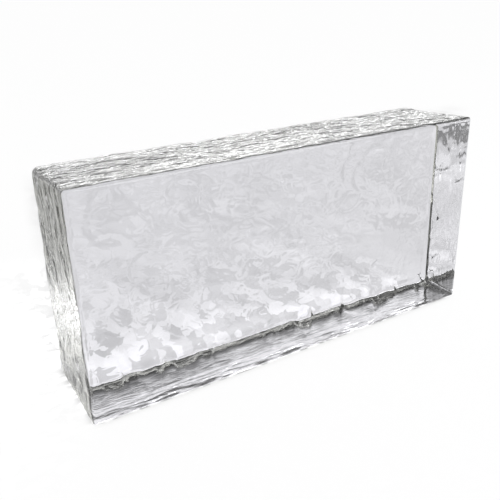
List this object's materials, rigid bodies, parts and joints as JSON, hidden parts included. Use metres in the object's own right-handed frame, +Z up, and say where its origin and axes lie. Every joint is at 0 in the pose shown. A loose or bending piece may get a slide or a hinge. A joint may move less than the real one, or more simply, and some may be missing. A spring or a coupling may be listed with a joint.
{
  "type": "solid cast glass brick",
  "caption": "Solid clear cast glass brick with a smooth front, wrinkled sides and a hammered back, laid in glued glass masonry or used as a light-passing block.",
  "frame": {"origin": "On the floor, under the middle of the brick's bounding box, as it stands on its long narrow side.", "axes": "+X along the brick's length, +Y from the smooth front face to the hammered back face, +Z up."},
  "size_m": [0.24, 0.0548, 0.1149],
  "materials": {
    "clear_glass": "Clear, fire-polished cast soda-lime glass with a faint yellow-green tint in its depth: smooth front, chill-wrinkled sides, hammered back."
  },
  "bodies": {
    "root": {"glass_block": "clear_glass"}
  },
  "joints": []
}
